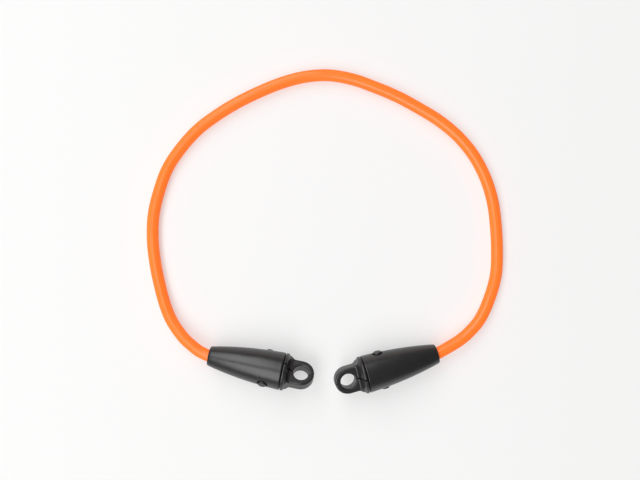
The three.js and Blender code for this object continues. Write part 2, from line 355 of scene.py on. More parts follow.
class BungeeCord(bpy.types.PropertyGroup):
    """Sizes of the cord and its braid."""

    diameter: length("Diameter", "Across the cord", 0.008)
    jacket_wall: length("Jacket wall", "Thickness of the braided jacket", 0.0007)
    grip_length: length("Grip length", "Cord held in each terminal", 0.0495)
    throat_overlap: length("Throat overlap", "Free cord that reaches into each exit", 0.005)
    braid_columns: IntProperty(
        name="Braid columns", description="Columns of stitches round the cord", default=16, min=4)
    stitch_pitch: length("Stitch pitch", "Length of one braid stitch along the cord", 0.00168)
    stitch_relief: length("Stitch relief", "Height of a stitch above the gaps", 0.00016)
    thread_rows: IntProperty(
        name="Thread rows", description="Rows of rubber threads each way", default=3, min=1)
    thread_side: length("Thread side", "Width of a square rubber thread", 0.0013)
    thread_gap: length("Thread gap", "Gap between rubber threads", 0.0002)


class BungeeColours(bpy.types.PropertyGroup):
    """Colours of the finishes."""

    sleeve: colour("Sleeve", "Satin plastic", RECORD_COLOURS["sleeve_black"])
    jaw: colour("Jaw", "Matt plastic", RECORD_COLOURS["jaw_black"])
    braid: colour("Braid", "Crown of a braid stitch", RECORD_COLOURS["braid_orange"])
    # Colour of the braid's painted glow, an emission that brightens its shaded side towards bright red.
    braid_painted_glow: colour("Braid glow", "Fluorescence of the orange dye", (1.0, 0.165, 0.008))
    # Painted shade: the darker colour put in the gaps between stitches, where shade falls.
    braid_gap_painted_shade: colour("Braid gap", "Gaps between braid stitches", (0.72, 0.1, 0.012))
    rubber: colour("Rubber", "Rubber threads", RECORD_COLOURS["rubber_pale"])
    floor: colour("Floor", "Studio floor", (0.93, 0.925, 0.922))
    floor_glow: colour("Floor glow", "White that the seen floor is lifted to", (0.97, 0.965, 0.962))


class Wire:
    """A shader value. Python operators on it add Math nodes."""

    def __init__(self, finish, socket):
        self.finish = finish
        self.socket = socket

    def maths(self, operation, *others):
        inputs = dict(enumerate((self, *others)))
        return self.finish.node("ShaderNodeMath", {"operation": operation}, inputs)

    def reflected(self, operation, other):
        return self.finish.node("ShaderNodeMath", {"operation": operation}, {0: other, 1: self})

    def __add__(self, other):
        return self.maths("ADD", other)

    def __radd__(self, other):
        return self.reflected("ADD", other)

    def __sub__(self, other):
        return self.maths("SUBTRACT", other)

    def __rsub__(self, other):
        return self.reflected("SUBTRACT", other)

    def __mul__(self, other):
        return self.maths("MULTIPLY", other)

    def __rmul__(self, other):
        return self.reflected("MULTIPLY", other)

    def __mod__(self, other):
        return self.maths("FLOORED_MODULO", other)

    def __pow__(self, other):
        return self.maths("POWER", other)


class Finish:
    """A node tree under construction."""

    def __init__(self, tree):
        self.tree = tree

    def node(self, kind, settings=None, inputs=None, output=0):
        """A node with its settings and the values or links of its sockets, as one of its outputs."""
        made = self.tree.nodes.new(kind)
        for key, value in (settings or {}).items():
            if key == "stops":
                self.set_stops(made.color_ramp.elements, value)
            else:
                setattr(made, key, value)
        for key, value in (inputs or {}).items():
            self.feed(made.inputs[key], value)
        return Wire(self, made.outputs[output])

    def feed(self, socket, value):
        if isinstance(value, Wire):
            self.tree.links.new(value.socket, socket)
        else:
            socket.default_value = value

    @staticmethod
    def set_stops(elements, stops):
        while len(elements) < len(stops):
            elements.new(1.0)
        for element, (position, shade) in zip(elements, stops):
            element.position = position
            element.color = shade

    def mix(self, factor, first, second):
        """A colour between two others."""
        return self.node("ShaderNodeMix", {"data_type": "RGBA"}, {0: factor, 6: first, 7: second}, 2)

    def noise(self, where, scale, detail):
        inputs = {"Vector": where, "Scale": scale, "Detail": detail}
        return self.node("ShaderNodeTexNoise", inputs=inputs)

    def axis(self, vector, name):
        return self.node("ShaderNodeSeparateXYZ", inputs={"Vector": vector}, output=name)

    def vector(self, x, y, z):
        return self.node("ShaderNodeCombineXYZ", inputs={"X": x, "Y": y, "Z": z})

    def place(self):
        return self.node("ShaderNodeTexCoord", output="Object")

    def grain(self, shader, strength, distance, height):
        """A relief on a shader that is too fine for the mesh."""
        inputs = {"Strength": strength, "Distance": distance, "Height": height}
        self.feed(shader.inputs["Normal"], self.node("ShaderNodeBump", inputs=inputs))


def opaque(shade):
    return (*shade, 1.0)


def scaled(shade, share):
    return tuple(channel * share for channel in shade)


def new_material(name, sockets):
    """A material with constants on its shader's sockets, as (material, finish, shader)."""
    material = bpy.data.materials.new(name)
    material.use_nodes = True
    shader = material.node_tree.nodes["Principled BSDF"]
    for key, value in sockets.items():
        shader.inputs[key].default_value = value
    return material, Finish(material.node_tree), shader


def moulded_plastic(name, shade, roughness, grain):
    """Black moulded plastic: a fine spark-eroded grain, faint flow marks and uneven gloss."""
    material, finish, shader = new_material(name, {"Specular IOR Level": 0.66})
    where = finish.place()
    flow = finish.noise(where, scale=140.0, detail=3.0)
    fine = finish.noise(where, scale=2600.0, detail=2.0)
    scuffs = finish.noise(where, scale=620.0, detail=5.0)
    pale = opaque(scaled(shade, 1.1))
    deep = opaque(scaled(shade, 0.55))
    finish.feed(shader.inputs["Base Color"], finish.mix(flow * 0.7 + fine * 0.3, deep, pale))
    finish.feed(shader.inputs["Roughness"], roughness - 0.07 + flow * 0.08 + scuffs * 0.06)
    height = flow * 24.0 + fine * 0.8 + scuffs * 0.2
    finish.grain(shader, strength=grain, distance=0.06 * MM, height=height)
    return material


def braided_yarn(name, colours, glow):
    """Orange polyester braid: leaning stitches in columns, with fine filaments along each stitch, and an emission that
    is a painted glow.
    """
    material, finish, shader = new_material(name, {
        "Specular IOR Level": 0.06,
        "Coat Roughness": 0.27,
        # The emission is a painted glow that brightens the braid's shaded side.
        "Emission Color": opaque(colours.braid_painted_glow),
        "Emission Strength": glow,
    })
    uv = finish.node("ShaderNodeUVMap", {"uv_map": "braid"})
    column = finish.axis(uv, "X")
    row = finish.axis(uv, "Y")
    lean = 1.0 - (column.maths("FLOOR") % 2.0) * 2.0
    across = column % 1.0 - 0.5
    along = (row + lean * across) % 1.0 - 0.5
    crown = (1.0 - across * across * 4.0) * (1.0 - along * along * 4.0)
    strands = finish.vector(along * 9.0, across * 1.4, row * 0.06 + column * 3.7)
    filament = finish.noise(strands, scale=1.6, detail=2.0)
    bands = finish.vector(column * 1.1, row * 0.05, 0.0)
    streak = finish.noise(bands, scale=1.0, detail=3.0)
    # From each stitch's crown the colour darkens to a painted shade in the gaps between stitches; the filaments and
    # streaks add random tone.
    tone = crown ** 0.6 * 0.62 + filament * 0.3 + streak * 0.6 - 0.23
    base = finish.mix(tone, opaque(colours.braid_gap_painted_shade), opaque(colours.braid))
    finish.feed(shader.inputs["Base Color"], base)
    finish.feed(shader.inputs["Roughness"], 0.37 - filament * 0.14)
    # Near the cord's edge the yarns hide one another, so the gloss fades there.
    facing = finish.node("ShaderNodeLayerWeight", inputs={"Blend": 0.5}, output="Facing")
    finish.feed(shader.inputs["Coat Weight"], 0.85 - facing * 1.4)
    height = crown * 0.6 + filament * 0.4
    finish.grain(shader, strength=0.55, distance=0.12 * MM, height=height)
    return material


def natural_rubber(colours):
    """Pale rubber thread with a dusty, uneven surface."""
    material, finish, shader = new_material("natural_rubber", {"Specular IOR Level": 0.4})
    dust = finish.noise(finish.place(), scale=900.0, detail=4.0)
    base = finish.mix(dust, opaque(scaled(colours.rubber, 0.82)), opaque(colours.rubber))
    finish.feed(shader.inputs["Base Color"], base)
    finish.feed(shader.inputs["Roughness"], 0.55 + dust * 0.3)
    finish.grain(shader, strength=0.3, distance=0.05 * MM, height=dust)
    return material


def plain_floor(colours):
    """The studio floor, a matt pale sheet, lifted towards white where it is seen."""
    material, finish, shader = new_material("plain_floor", {
        "Base Color": opaque(colours.floor),
        "Roughness": 0.9,
        "Specular IOR Level": 0.1,
    })
    seen = [finish.node("ShaderNodeLightPath", output=f"Is {ray} Ray") for ray in SEEING_RAYS]
    glow = finish.node("ShaderNodeEmission", inputs={"Color": opaque(colours.floor_glow)})
    lit = Wire(finish, shader.outputs["BSDF"])
    share = (seen[0] + seen[1] + seen[2]) * FLOOR_LIFT
    mixed = finish.node("ShaderNodeMixShader", inputs={0: share, 1: lit, 2: glow})
    finish.feed(material.node_tree.nodes["Material Output"].inputs["Surface"], mixed)
    return material


def object_from(shape, name):
    """A new object that holds a bmesh, or a mesh."""
    if isinstance(shape, bmesh.types.BMesh):
        mesh = bpy.data.meshes.new(name)
        shape.to_mesh(mesh)
        shape.free()
    else:
        mesh = shape
    made = bpy.data.objects.new(name, mesh)
    bpy.context.scene.collection.objects.link(made)
    return made


def spun(profile, closed=False, steps=96):
    """A solid of revolution about x from a profile of (x, radius)."""
    shape = bmesh.new()
    points = [shape.verts.new((x, 0.0, radius)) for x, radius in profile]
    pairs = list(zip(points, points[1:]))
    if closed:
        pairs.append((points[-1], points[0]))
    edges = [shape.edges.new(pair) for pair in pairs]
    bmesh.ops.spin(
        shape, geom=points + edges, cent=(0, 0, 0), axis=(1, 0, 0), angle=FULL_TURN, steps=steps,
        use_merge=True)
    bmesh.ops.remove_doubles(shape, verts=shape.verts, dist=WELD)
    bmesh.ops.recalc_face_normals(shape, faces=shape.faces)
    return shape


def rounded(shape, edges, radius, segments, clamp=False):
    """Round some edges of a shape."""
    bmesh.ops.bevel(
        shape, geom=edges, offset=radius, segments=segments, profile=0.5, affect="EDGES",
        clamp_overlap=clamp, material=-1)


def plate(outline, thickness, edge=0.0):
    """A flat outline in x and y, given a thickness along z, with its edges rounded."""
    shape = bmesh.new()
    face = shape.faces.new([shape.verts.new((x, y, -thickness / 2)) for x, y in outline])
    grown = bmesh.ops.extrude_face_region(shape, geom=[face])["geom"]
    moved = [g for g in grown if isinstance(g, bmesh.types.BMVert)]
    bmesh.ops.translate(shape, verts=moved, vec=(0, 0, thickness))
    bmesh.ops.recalc_face_normals(shape, faces=shape.faces)
    if edge:
        rims = [e for e in shape.edges if abs(e.verts[0].co.z - e.verts[1].co.z) < WELD]
        rounded(shape, rims, edge, segments=5)
    return shape


def block(low, high):
    """A box between two corners."""
    shape = bmesh.new()
    size = [b - a for a, b in zip(low, high)]
    middle = [(a + b) / 2 for a, b in zip(low, high)]
    matrix = Matrix.Translation(middle) @ Matrix.Diagonal((*size, 1.0))
    bmesh.ops.create_cube(shape, size=1.0, matrix=matrix)
    return shape


def peg(x, radius, low, high, edge=0.0):
    """A round peg along y, with its far edge rounded."""
    shape = bmesh.new()
    matrix = Matrix.Translation((x, (low + high) / 2, 0.0)) @ Matrix.Rotation(QUARTER_TURN, 4, "X")
    bmesh.ops.create_cone(
        shape, cap_ends=True, segments=64, radius1=radius, radius2=radius, depth=abs(high - low),
        matrix=matrix)
    if edge:
        rim = [e for e in shape.edges if all(abs(v.co.y - high) < WELD for v in e.verts)]
        rounded(shape, rim, edge, segments=4)
    bmesh.ops.recalc_face_normals(shape, faces=shape.faces)
    return shape


def drop_flakes(mesh):
    """Keep the largest connected part of a mesh, because a cut now and then leaves a loose flake."""
    shape = bmesh.new()
    shape.from_mesh(mesh)
    unseen = set(shape.verts)
    parts = []
    while unseen:
        part = [unseen.pop()]
        for vert in part:
            joined = {edge.other_vert(vert) for edge in vert.link_edges} & unseen
            unseen -= joined
            part += joined
        parts.append(part)
    parts.sort(key=len)
    flakes = [vert for part in parts[:-1] for vert in part]
    if flakes:
        bmesh.ops.delete(shape, geom=flakes, context="VERTS")
        shape.to_mesh(mesh)
    shape.free()


def carved(base, steps):
    """A base with modifiers that join it with other shapes or cut it by them, and those shapes."""
    body = object_from(base, "mould")
    tools = []
    for operation, shape in steps:
        tool = object_from(shape, "tool")
        tools.append(tool)
        modifier = body.modifiers.new(operation, "BOOLEAN")
        modifier.operation = operation
        modifier.solver = "EXACT"
        modifier.object = tool
    return body, tools


def finished(body, tools):
    """The mesh that a body's modifiers give, in one part, once the spent objects are gone."""
    graph = bpy.context.evaluated_depsgraph_get()
    mesh = bpy.data.meshes.new_from_object(body.evaluated_get(graph))
    for spent in [body, *tools]:
        bpy.data.objects.remove(spent)
    drop_flakes(mesh)
    return mesh


def along_order(vert):
    """A point's place in the fixed order."""
    return vert.co.dot(WELD_ORDER)


def crisp(base, steps, sliver, bevel):
    """One moulded solid with crisp cut edges: slivers are welded and the edges finely bevelled."""
    mesh = finished(*carved(base, steps))
    shape = bmesh.new()
    shape.from_mesh(mesh)
    # A cut gives its points in no fixed order, so they are put in order for each run to weld the same.
    shape.verts.sort(key=along_order)
    bmesh.ops.remove_doubles(shape, verts=shape.verts, dist=sliver)
    bmesh.ops.dissolve_degenerate(shape, edges=shape.edges, dist=sliver / 4)
    rims = [edge for edge in shape.edges if edge.calc_face_angle(0.0) > RIM_ANGLE]
    rounded(shape, rims, bevel, segments=3, clamp=True)
    for face in shape.faces:
        face.smooth = True
    shape.verts.sort(key=along_order)
    shape.faces.sort(key=lambda face: face.calc_center_median().dot(WELD_ORDER))
    shape.to_mesh(mesh)
    shape.free()
    mesh.set_sharp_from_angle(angle=RIM_ANGLE)
    return mesh


def moulded(base, steps, voxel, softening):
    """One moulded solid: a base joined with and cut by other shapes, with all its edges softened."""
    body, tools = carved(base, steps)
    remesh = body.modifiers.new("remesh", "REMESH")
    remesh.mode = "VOXEL"
    remesh.voxel_size = voxel
    remesh.use_smooth_shade = True
    smooth = body.modifiers.new("smooth", "SMOOTH")
    smooth.factor = 0.5
    smooth.iterations = softening
    return finished(body, tools)


def arc(centre, radius, start, end, steps):
    """Points round part of a circle."""
    angles = [start + (end - start) * i / steps for i in range(steps + 1)]
    return [(centre[0] + radius * math.cos(a), centre[1] + radius * math.sin(a)) for a in angles]


def sampled(radius_at, start, end, steps):
    """Points (x, radius) of a curve, evenly spaced in x."""
    places = [start + (end - start) * i / steps for i in range(steps + 1)]
    return [(x, radius_at(x)) for x in places]


def curved(start, control, end, steps):
    """Points of a quadratic curve in two dimensions."""
    a, b, c = Vector(start), Vector(control), Vector(end)
    points = interpolate_bezier(a, a.lerp(b, 2 / 3), c.lerp(b, 2 / 3), c, steps + 1)
    return [(p.x, p.y) for p in points]


def sleeve_solid(t):
    """The bullet-shaped sleeve, with its throat, its bore and two round windows."""
    edge = t.sleeve_edge
    profile = [
        (0.0, t.throat_radius + t.throat_flare),
        *arc((edge, t.exit_radius - edge), edge, 2 * QUARTER_TURN, QUARTER_TURN, steps=4),
        *sampled(t.outer_radius, 2 * edge, t.sleeve_length - 2 * edge, steps=48),
        *arc((t.sleeve_length - edge, t.mouth_radius - edge), edge, QUARTER_TURN, 0.0, steps=4),
        *sampled(t.bore_radius, t.sleeve_length, t.seat_x, steps=24),
        (t.throat_length, t.throat_radius),
        (t.throat_flare, t.throat_radius),
    ]
    window = peg(t.lug_x, t.lug_diameter / 2 + t.window_clearance, -FAR, FAR)
    shell = spun(profile, closed=True, steps=192)
    return crisp(shell, [("DIFFERENCE", window)], sliver=0.04 * MM, bevel=0.12 * MM)


def plug(t):
    """The tapered plug that fills the sleeve's bore, before it is split."""
    tip = t.seat_x + t.jaw_clearance
    root = t.collar_x + t.collar_band / 2
    return spun([
        (tip, 0.0),
        (tip, t.jaw_radius(tip) - t.jaw_chamfer),
        *sampled(t.jaw_radius, tip + t.jaw_chamfer, t.sleeve_length, steps=24),
        (root, t.jaw_radius(t.sleeve_length)),
        (root, 0.0),
    ])


def collar(t):
    """The collar, a disc with a rounded front edge that closes the sleeve's mouth."""
    middle = (t.collar_x + t.collar_band, t.root_radius)
    return spun([
        (t.collar_x, 0.0),
        (t.collar_x, t.collar_radius - t.jaw_chamfer / 2),
        (t.root_x, t.collar_radius),
        *arc(middle, t.collar_round, QUARTER_TURN, 0.0, steps=6),
        (t.collar_front, 0.0),
    ])


def flare(t, run, bend, half):
    """The upper edge of a flare from a half width up to the collar's front."""
    start = (t.collar_front + run, half)
    control = (t.collar_front + bend, half)
    end = (t.collar_front, t.root_radius)
    return [*curved(start, control, end, steps=16), (t.root_x, t.root_radius)]


def mirrored(edge):
    """An edge and its mirror image below the axis."""
    return edge + [(x, -y) for x, y in reversed(edge)]


def eye_outline(t):
    """The eye's outline: parallel sides that flare into the collar, and a round end."""
    end = arc((t.eye_x, 0.0), t.eye_radius, -QUARTER_TURN, QUARTER_TURN, steps=48)
    return end + mirrored(flare(t, t.neck_flare, t.neck_bend, t.eye_radius))


def shoulder_side(t):
    """The shoulder in side view: hollow faces that thin from the collar to the eye."""
    edge = flare(t, t.shoulder_run, t.shoulder_bend, t.eye_thickness / 2)
    shape = plate(mirrored(edge), 2 * FAR)
    upright = Matrix.Rotation(QUARTER_TURN, 4, "X")
    bmesh.ops.transform(shape, matrix=upright, verts=shape.verts)
    return shape


def shoulder_drum(t):
    """The round space that the shoulder keeps to, set off so that no faces coincide with the flares."""
    shift = 0.1 * MM
    inset = 0.02 * MM
    start = t.root_x + shift
    foot = t.collar_front + t.shoulder_run + shift
    radius = t.root_radius - inset
    return spun([(start, 0.0), (start, radius), (foot, radius), (foot, 0.0)])


def eye_bore(t):
    """The eye's hole as a solid, flared at both faces so that the hole's edges come out round."""
    edge = t.hole_edge
    wide = t.eye_hole / 2 + edge
    rim = arc((t.eye_thickness / 2 - edge, wide), edge, -QUARTER_TURN, 0.0, steps=8)
    back = [(-z, radius) for z, radius in reversed(rim)]
    reach = t.eye_thickness
    shape = spun([(-reach, 0.0), (-reach, wide), *back, *rim, (reach, wide), (reach, 0.0)])
    upright = Matrix.Translation((t.eye_x, 0.0, 0.0)) @ Matrix.Rotation(QUARTER_TURN, 4, "Y")
    bmesh.ops.transform(shape, matrix=upright, verts=shape.verts)
    return shape


def cord_channel(t):
    """The space for the cord between the jaws, with barbs that hold it against a pull to the exit."""
    tip = t.seat_x + t.jaw_clearance
    root = t.tooth_crest + t.tooth_depth
    count = int((t.cord_stop_x - tip) / t.tooth_pitch)
    barbs = []
    for i in range(count):
        x = tip + i * t.tooth_pitch
        barbs += [(x, root), (x + t.tooth_run, t.tooth_crest), (x + t.tooth_run + t.tooth_back, root)]
    return spun([
        (tip - t.jaw_chamfer, 0.0), (tip - t.jaw_chamfer, root), *barbs,
        (t.cord_stop_x, root), (t.cord_stop_x, 0.0),
    ])


def finger_prism(t, clearance, deepening):
    """The space of the upper spring finger, grown by a clearance and deepened at its free end."""
    root = t.finger_root_x - clearance
    tip = t.finger_tip_x + clearance
    root_y = t.jaw_radius(t.finger_root_x) - t.finger_thickness - clearance
    tip_y = t.jaw_radius(t.finger_tip_x) - t.finger_thickness - clearance - deepening
    outline = [(root, -FAR), (tip, -FAR), (tip, -tip_y), (root, -root_y)]
    return plate(outline, t.finger_width + 2 * clearance)


def jaw_solid(t):
    """The upper jaw: half of the plug, the collar and the eye, pocketed for its spring finger."""
    travel = t.lug_rise + t.sleeve_wall + t.press_clearance
    deepening = travel * (t.finger_tip_x - t.finger_root_x) / t.finger_length
    half = t.slit_width / 2
    return moulded(plate(eye_outline(t), 2 * FAR), [
        ("INTERSECT", shoulder_side(t)),
        ("INTERSECT", shoulder_drum(t)),
        ("UNION", collar(t)),
        ("UNION", plug(t)),
        ("UNION", plate(eye_outline(t), t.eye_thickness, t.eye_edge)),
        ("DIFFERENCE", eye_bore(t)),
        ("DIFFERENCE", cord_channel(t)),
        ("DIFFERENCE", finger_prism(t, t.finger_clearance, deepening)),
        ("DIFFERENCE", block((0.0, -half, -FAR), (t.eye_x, FAR, FAR))),
        ("DIFFERENCE", block((-FAR, -t.seam_width / 2, -FAR), (2 * FAR, FAR, FAR))),
    ], voxel=0.23 * MM, softening=10)


def latch_solid(t):
    """The upper spring finger with its round snap lug."""
    foot = t.jaw_radius(t.lug_x) - t.finger_thickness / 2
    top = t.outer_radius(t.lug_x) + t.lug_rise
    return moulded(plug(t), [
        ("INTERSECT", finger_prism(t, 0.0, 0.0)),
        ("UNION", peg(t.lug_x, t.lug_diameter / 2, -foot, -top, t.lug_edge)),
    ], voxel=0.18 * MM, softening=4)


def terminal_matrix(side, t):
    """A terminal's frame, from the bending lines of its two fingers: x runs to the eye."""
    upper = JOINTS[f"{side}_upper_press"]
    lower = JOINTS[f"{side}_lower_press"]
    first = Vector(upper["pos_m"])
    second = Vector(lower["pos_m"])
    z_axis = Vector(upper["axis"]).normalized()
    y_axis = (second - first).normalized()
    x_axis = y_axis.cross(z_axis)
    origin = (first + second) / 2 - x_axis * (t.finger_root_x + t.hinge_inset)
    turned = Matrix((x_axis, y_axis, z_axis)).transposed().to_4x4()
    return Matrix.Translation(origin) @ turned


def flipped(mesh):
    """The mirror image of a mesh across the slit between the jaws."""
    copy = mesh.copy()
    copy.transform(Matrix.Scale(-1.0, 4, (0.0, 1.0, 0.0)))
    copy.flip_normals()
    return copy


def fit(mesh, matrix, node, material, body, slot):
    """Put a piece made in the terminal's frame in its place, where it replaces a CAD node."""
    copy = mesh.copy()
    copy.transform(matrix)
    copy.materials.clear()
    copy.materials.append(material)
    made = object_from(copy, f"{node}_moulding")
    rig.ride(made, body)
    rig.replaces(made, node)
    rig.slot(made, slot)


class CordLine:
    """The cord's centreline, from its end in the left terminal to its end in the right one."""

    steps_a_stop = 24
    smoothing = 2

    def __init__(self, t, cord):
        matrices = [terminal_matrix(side, t) for side in SIDES]
        self.exits = [matrix.translation.copy() for matrix in matrices]
        grip = cord.grip_length
        places = [grip, grip * 2 / 3, grip / 3, t.throat_length, 0.0]
        left, right = ([m @ Vector((x, 0.0, 0.0)) for x in places] for m in matrices)
        stops = [*left, *(Vector(p) for p in ROUTE), *reversed(right)]
        self.points = self.curve(stops, self.steps_a_stop)
        self.lengths = [0.0]
        for a, b in zip(self.points, self.points[1:]):
            self.lengths.append(self.lengths[-1] + (b - a).length)

    @staticmethod
    def curve(stops, steps):
        """A centripetal curve through all the stops."""
        ends = [2 * stops[0] - stops[1], *stops, 2 * stops[-1] - stops[-2]]
        points = [stops[0]]
        for a, b, c, d in zip(ends, ends[1:], ends[2:], ends[3:]):
            before, here, after = (math.sqrt((q - p).length) for p, q in ((a, b), (b, c), (c, d)))
            leave = (b - a) / before - (c - a) / (before + here) + (c - b) / here
            arrive = (c - b) / here - (d - b) / (here + after) + (d - c) / after
            reach = here / 3
            points += interpolate_bezier(b, b + leave * reach, c - arrive * reach, c, steps)[1:]
        return points

    @property
    def total(self):
        return self.lengths[-1]

    def at(self, distance):
        """The centre at a distance along the line, with its side and up directions."""
        i = min(max(bisect_right(self.lengths, distance), 1), len(self.points) - 1)
        a, b = self.points[i - 1], self.points[i]
        share = (distance - self.lengths[i - 1]) / (self.lengths[i] - self.lengths[i - 1])
        before = self.points[max(i - 1 - self.smoothing, 0)]
        after = self.points[min(i + self.smoothing, len(self.points) - 1)]
        along = (after - before).normalized()
        side = Vector((0, 0, 1)).cross(along).normalized()
        return a.lerp(b, share), side, along.cross(side)


def swept(line, places, around, section, uv_at=None):
    """A bar along the line. For a row and a turn, section gives its outline and uv_at its map."""
    shape = bmesh.new()
    rows = len(places) - 1
    bmesh.ops.create_grid(shape, x_segments=rows, y_segments=around, size=0.5)
    shape.verts.index_update()
    frames = [line.at(place) for place in places]
    grid = {}
    for vert in shape.verts:
        row = round((vert.co.x + 0.5) * rows)
        turn = round((vert.co.y + 0.5) * around)
        centre, side, up = frames[row]
        a, b = section(row, turn)
        vert.co = centre + side * a + up * b
        grid[vert.index] = (row, turn)
    if uv_at:
        uv = shape.loops.layers.uv.new("braid")
        for loop in (loop for face in shape.faces for loop in face.loops):
            loop[uv].uv = uv_at(*grid[loop.vert.index])
    bmesh.ops.remove_doubles(shape, verts=shape.verts, dist=WELD)
    bmesh.ops.holes_fill(shape, edges=[e for e in shape.edges if e.is_boundary])
    bmesh.ops.recalc_face_normals(shape, faces=shape.faces)
    for face in shape.faces:
        face.smooth = True
    return shape


class BungeeStage(bpy.types.Operator):
    """Make the camera, the pale floor and the soft studio light"""

    bl_idname = "bungee.stage"
    bl_label = "Stage"
    lens = 50.0
    sensor_width = 36.0
    viewpoint = (-0.00238, 0.0891, 0.626)
    floor_size = 6.0
    banks = (
        ("front_bank", (-0.90, -1.39, 2.0), (1.42, 2.93), 45.3),
        ("back_bank", (-0.90, 2.50, 2.0), (1.42, 3.99), 61.9),
    )
    room_greys = ((0.0, 0.5), (0.3, 0.29), (0.9, 0.22))
    room_slope = 0.36

    def execute(self, context):
        scene = context.scene
        scene.view_settings.view_transform = "Standard"
        self.camera(scene)
        self.floor(scene)
        for bank in self.banks:
            self.bank(scene, *bank)
        self.world(scene)
        return {"FINISHED"}

    def camera(self, scene):
        data = bpy.data.cameras.new("camera")
        data.lens = self.lens
        data.sensor_width = self.sensor_width
        camera = bpy.data.objects.new("camera", data)
        camera.location = self.viewpoint
        scene.collection.objects.link(camera)
        scene.camera = camera

    def floor(self, scene):
        shape = bmesh.new()
        bmesh.ops.create_grid(shape, x_segments=1, y_segments=1, size=self.floor_size)
        floor = object_from(shape, "floor")
        floor.data.materials.append(plain_floor(scene.bungee_colours))
        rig.stage(floor)

    def bank(self, scene, name, place, size, power):
        """A bank of soft light overhead."""
        data = bpy.data.lights.new(name, "AREA")
        data.shape = "RECTANGLE"
        data.size, data.size_y = size
        data.energy = power
        bank = bpy.data.objects.new(name, data)
        bank.location = place
        scene.collection.objects.link(bank)

    def world(self, scene):
        """A room that is lighter near the floor and on the left."""
        world = bpy.data.worlds.new("studio")
        world.use_nodes = True
        finish = Finish(world.node_tree)
        direction = finish.node("ShaderNodeTexCoord", output="Generated")
        right = finish.axis(direction, "X")
        up = finish.axis(direction, "Z")
        stops = [(height, (grey, grey, grey, 1.0)) for height, grey in self.room_greys]
        shade = finish.node("ShaderNodeValToRGB", {"stops": stops}, {"Fac": up})
        background = world.node_tree.nodes["Background"]
        finish.feed(background.inputs["Color"], shade)
        finish.feed(background.inputs["Strength"], 1.0 - right * self.room_slope)
        scene.world = world


class BungeeJacket(bpy.types.Operator):
    """Make the braided jacket of the cord, free between the terminals and gripped inside them"""

    bl_idname = "bungee.jacket"
    bl_label = "Braided jacket"
    around = 64
    steps_a_stitch = 4
    inner_steps = 120
    # Strength of the braid's painted glow.
    glow = 0.45

    def execute(self, context):
        cord = context.scene.bungee_cord
        line = CordLine(context.scene.bungee_terminal, cord)
        colours = context.scene.bungee_colours
        yarn = braided_yarn("braided_yarn", colours, self.glow)
        # The yarn gripped inside the terminals is left without the painted glow.
        dark_yarn = braided_yarn("gripped_yarn", colours, glow=0.0)
        reach = cord.grip_length - cord.throat_overlap
        self.free(cord, line, yarn, reach, line.total - reach)
        self.gripped(cord, line, dark_yarn, "left", 0.0, reach)
        self.gripped(cord, line, dark_yarn, "right", line.total - reach, line.total)
        return {"FINISHED"}

    def relief(self, cord, distance, turn):
        """Height of the braid: leaning stitches in columns that lean the other way by turns."""
        column = turn * cord.braid_columns / self.around
        across = column % 1.0 - 0.5
        lean = 1.0 - 2.0 * (int(column) % 2)
        along = (distance / cord.stitch_pitch + lean * across) % 1.0 - 0.5
        return cord.stitch_relief * math.sqrt((1 - 4 * across * across) * (1 - 4 * along * along))

    def tube(self, cord, line, yarn, name, start, end):
        """A hollow tube: out along the braided outside, and back along the plain inside."""
        step = cord.stitch_pitch / self.steps_a_stitch
        count = round((end - start) / step)
        outer = [start + (end - start) * i / count for i in range(count + 1)]
        inner = [end + (start - end) * i / self.inner_steps for i in range(self.inner_steps + 1)]
        places = [*outer, *inner, start]
        inside = range(len(outer), len(places) - 1)
        base = cord.diameter / 2
        bore = base - cord.jacket_wall

        def section(row, turn):
            angle = FULL_TURN * turn / self.around
            relief = self.relief(cord, places[row], turn % self.around)
            radius = bore if row in inside else base + relief
            return radius * math.cos(angle), radius * math.sin(angle)

        def uv_at(row, turn):
            return turn * cord.braid_columns / self.around, places[row] / cord.stitch_pitch

        made = object_from(swept(line, places, self.around, section, uv_at), name)
        made.data.materials.append(yarn)
        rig.slot(made, "braid_orange")
        return made, outer

    def free(self, cord, line, yarn, start, end):
        made, places = self.tube(cord, line, yarn, "braided_jacket", start, end)
        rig.replaces(made, "cord_jacket")
        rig.blend(made, "left_end", "right_end", STRETCH_START, STRETCH_END)
        threads = [f"rubber_thread_{i + 1}_free" for i in range(cord.thread_rows ** 2)]
        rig.cord(
            made, exit=line.exits[0], length=line.total - 2 * cord.grip_length,
            diameter=cord.diameter, far_end="object", stiffness="medium", lay="loose",
            path=[line.at(place)[0] for place in places], with_pieces=threads)

    def gripped(self, cord, line, yarn, side, start, end):
        made, _ = self.tube(cord, line, yarn, f"{side}_jacket_end", start, end)
        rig.ride(made, f"{side}_end")


